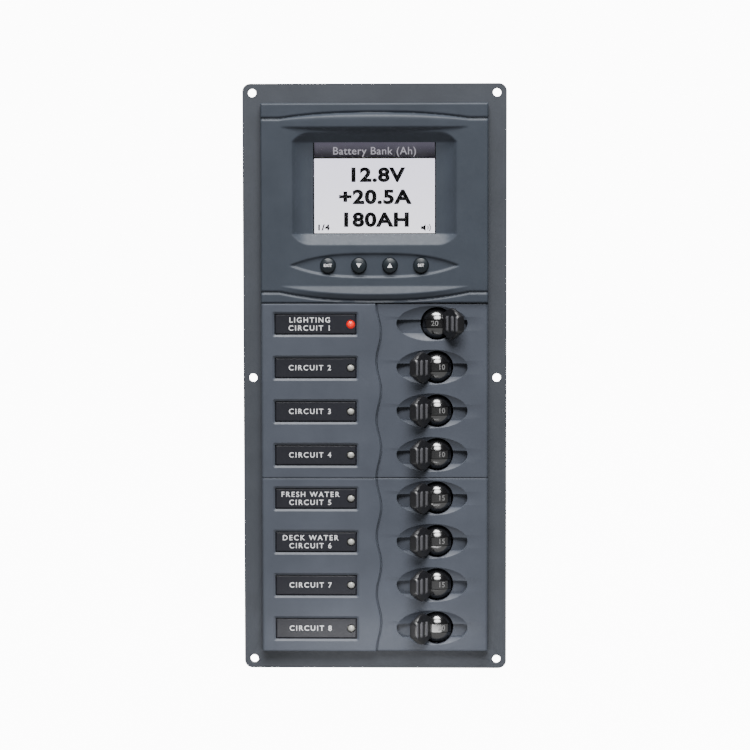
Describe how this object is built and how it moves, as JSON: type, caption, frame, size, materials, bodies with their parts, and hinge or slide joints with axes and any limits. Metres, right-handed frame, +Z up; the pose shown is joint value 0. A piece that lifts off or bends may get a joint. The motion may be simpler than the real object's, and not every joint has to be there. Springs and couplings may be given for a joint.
{
  "type": "battery monitor switch panel",
  "caption": "Tall flush-mounted panel with a battery monitor display and keys over a column of toggle circuit breakers, each with a legend strip and an indicator lamp.",
  "frame": {"origin": "centre of the six mounting holes, in the plane of the mounting plate's back face", "axes": "+X to the right of someone facing the panel, +Y into the bulkhead behind it, +Z up"},
  "size_m": [0.115, 0.0656, 0.256],
  "materials": {
    "plate": "fine texture powder coat, dark grey",
    "bezel": "fine sparked texture, blue grey",
    "fascia": "fine sparked texture, blue grey",
    "window": "clear polished acrylic",
    "lcd": "polarised film over a display cell",
    "backlight": "white light guide",
    "circuit_board": "green solder mask",
    "black_moulding": "black glass-filled nylon",
    "terminal_block": "green moulded nylon",
    "zinc_screw": "bright zinc plate",
    "steel_pin": "ground steel",
    "breaker_case": "black phenolic moulding",
    "brass_plate": "bright brass",
    "tinned_bar": "tinned brass",
    "copper": "bare copper",
    "legend": "printed film, satin",
    "lamp_red": "red diffused epoxy, lit",
    "lamp_clear": "milky epoxy, unlit",
    "toggle": "polished black moulding",
    "key_cap": "smooth dark rubberised moulding"
  },
  "bodies": {
    "panel": {"mounting_plate": "plate", "monitor_bezel": "bezel", "display_window": "window", "display_module": "lcd", "display_backlight": "backlight", "monitor_board": "circuit_board", "key_switches": "black_moulding", "alarm_sounder": "black_moulding", "terminal_blocks": "terminal_block", "monitor_rear_case": "black_moulding", "fascia_screws": "zinc_screw", "breaker_fascia_upper": "fascia", "breaker_fascia_lower": "fascia", "indicator_board_upper": "circuit_board", "indicator_board_lower": "circuit_board", "indicator_lamp_lit": "lamp_red", "indicator_lamps_unlit": "lamp_clear", "breaker_covers": "breaker_case", "breaker_coils": "copper", "breaker_terminals": "brass_plate", "pins_and_rivets": "steel_pin", "breaker_screws": "zinc_screw", "terminal_screws": "zinc_screw", "line_busbar": "tinned_bar", "legend_1": "legend", "legend_2": "legend", "legend_3": "legend", "legend_4": "legend", "legend_5": "legend", "legend_6": "legend", "legend_7": "legend", "legend_8": "legend", "breaker_base_1": "breaker_case", "breaker_base_2": "breaker_case", "breaker_base_3": "breaker_case", "breaker_base_4": "breaker_case", "breaker_base_5": "breaker_case", "breaker_base_6": "breaker_case", "breaker_base_7": "breaker_case", "breaker_base_8": "breaker_case"},
    "key_exit": {"key_exit": "key_cap"},
    "key_down": {"key_down": "key_cap"},
    "key_up": {"key_up": "key_cap"},
    "key_set": {"key_set": "key_cap"},
    "toggle_1": {"toggle_1": "toggle"},
    "contact_arm_1": {"contact_arm_1": "copper"},
    "toggle_2": {"toggle_2": "toggle"},
    "contact_arm_2": {"contact_arm_2": "copper"},
    "toggle_3": {"toggle_3": "toggle"},
    "contact_arm_3": {"contact_arm_3": "copper"},
    "toggle_4": {"toggle_4": "toggle"},
    "contact_arm_4": {"contact_arm_4": "copper"},
    "toggle_5": {"toggle_5": "toggle"},
    "contact_arm_5": {"contact_arm_5": "copper"},
    "toggle_6": {"toggle_6": "toggle"},
    "contact_arm_6": {"contact_arm_6": "copper"},
    "toggle_7": {"toggle_7": "toggle"},
    "contact_arm_7": {"contact_arm_7": "copper"},
    "toggle_8": {"toggle_8": "toggle"},
    "contact_arm_8": {"contact_arm_8": "copper"}
  },
  "joints": [
    {"name": "key_exit_press", "type": "slide", "parent": "panel", "child": "key_exit", "axis": [0, 1, 0], "range_m": [0, 0.0006], "stiffness_N_per_m": 1500},
    {"name": "key_down_press", "type": "slide", "parent": "panel", "child": "key_down", "axis": [0, 1, 0], "range_m": [0, 0.0006], "stiffness_N_per_m": 1500},
    {"name": "key_up_press", "type": "slide", "parent": "panel", "child": "key_up", "axis": [0, 1, 0], "range_m": [0, 0.0006], "stiffness_N_per_m": 1500},
    {"name": "key_set_press", "type": "slide", "parent": "panel", "child": "key_set", "axis": [0, 1, 0], "range_m": [0, 0.0006], "stiffness_N_per_m": 1500},
    {"name": "toggle_1_throw", "type": "hinge", "parent": "panel", "child": "toggle_1", "pos_m": [0.0271, -0.0014, 0.02388], "axis": [0, 0, 1], "range_deg": [-76, 0]},
    {"name": "contact_arm_1_swing", "type": "hinge", "parent": "panel", "child": "contact_arm_1", "pos_m": [0.0271, 0.0246, 0.02388], "axis": [0, 0, 1], "range_deg": [0, 27.74]},
    {"name": "toggle_2_throw", "type": "hinge", "parent": "panel", "child": "toggle_2", "pos_m": [0.0271, -0.0014, 0.00483], "axis": [0, 0, 1], "range_deg": [0, 76]},
    {"name": "contact_arm_2_swing", "type": "hinge", "parent": "panel", "child": "contact_arm_2", "pos_m": [0.0271, 0.0246, 0.00483], "axis": [0, 0, 1], "range_deg": [-27.74, 0]},
    {"name": "toggle_3_throw", "type": "hinge", "parent": "panel", "child": "toggle_3", "pos_m": [0.0271, -0.0014, -0.01422], "axis": [0, 0, 1], "range_deg": [0, 76]},
    {"name": "contact_arm_3_swing", "type": "hinge", "parent": "panel", "child": "contact_arm_3", "pos_m": [0.0271, 0.0246, -0.01422], "axis": [0, 0, 1], "range_deg": [-27.74, 0]},
    {"name": "toggle_4_throw", "type": "hinge", "parent": "panel", "child": "toggle_4", "pos_m": [0.0271, -0.0014, -0.03327], "axis": [0, 0, 1], "range_deg": [0, 76]},
    {"name": "contact_arm_4_swing", "type": "hinge", "parent": "panel", "child": "contact_arm_4", "pos_m": [0.0271, 0.0246, -0.03327], "axis": [0, 0, 1], "range_deg": [-27.74, 0]},
    {"name": "toggle_5_throw", "type": "hinge", "parent": "panel", "child": "toggle_5", "pos_m": [0.0271, -0.0014, -0.05233], "axis": [0, 0, 1], "range_deg": [0, 76]},
    {"name": "contact_arm_5_swing", "type": "hinge", "parent": "panel", "child": "contact_arm_5", "pos_m": [0.0271, 0.0246, -0.05233], "axis": [0, 0, 1], "range_deg": [-27.74, 0]},
    {"name": "toggle_6_throw", "type": "hinge", "parent": "panel", "child": "toggle_6", "pos_m": [0.0271, -0.0014, -0.07137], "axis": [0, 0, 1], "range_deg": [0, 76]},
    {"name": "contact_arm_6_swing", "type": "hinge", "parent": "panel", "child": "contact_arm_6", "pos_m": [0.0271, 0.0246, -0.07137], "axis": [0, 0, 1], "range_deg": [-27.74, 0]},
    {"name": "toggle_7_throw", "type": "hinge", "parent": "panel", "child": "toggle_7", "pos_m": [0.0271, -0.0014, -0.09043], "axis": [0, 0, 1], "range_deg": [0, 76]},
    {"name": "contact_arm_7_swing", "type": "hinge", "parent": "panel", "child": "contact_arm_7", "pos_m": [0.0271, 0.0246, -0.09043], "axis": [0, 0, 1], "range_deg": [-27.74, 0]},
    {"name": "toggle_8_throw", "type": "hinge", "parent": "panel", "child": "toggle_8", "pos_m": [0.0271, -0.0014, -0.10948], "axis": [0, 0, 1], "range_deg": [0, 76]},
    {"name": "contact_arm_8_swing", "type": "hinge", "parent": "panel", "child": "contact_arm_8", "pos_m": [0.0271, 0.0246, -0.10948], "axis": [0, 0, 1], "range_deg": [-27.74, 0]}
  ],
  "couplings": [
    {"joint": "contact_arm_1_swing", "follows": "toggle_1_throw", "ratio": -0.365},
    {"joint": "contact_arm_2_swing", "follows": "toggle_2_throw", "ratio": -0.365},
    {"joint": "contact_arm_3_swing", "follows": "toggle_3_throw", "ratio": -0.365},
    {"joint": "contact_arm_4_swing", "follows": "toggle_4_throw", "ratio": -0.365},
    {"joint": "contact_arm_5_swing", "follows": "toggle_5_throw", "ratio": -0.365},
    {"joint": "contact_arm_6_swing", "follows": "toggle_6_throw", "ratio": -0.365},
    {"joint": "contact_arm_7_swing", "follows": "toggle_7_throw", "ratio": -0.365},
    {"joint": "contact_arm_8_swing", "follows": "toggle_8_throw", "ratio": -0.365}
  ]
}
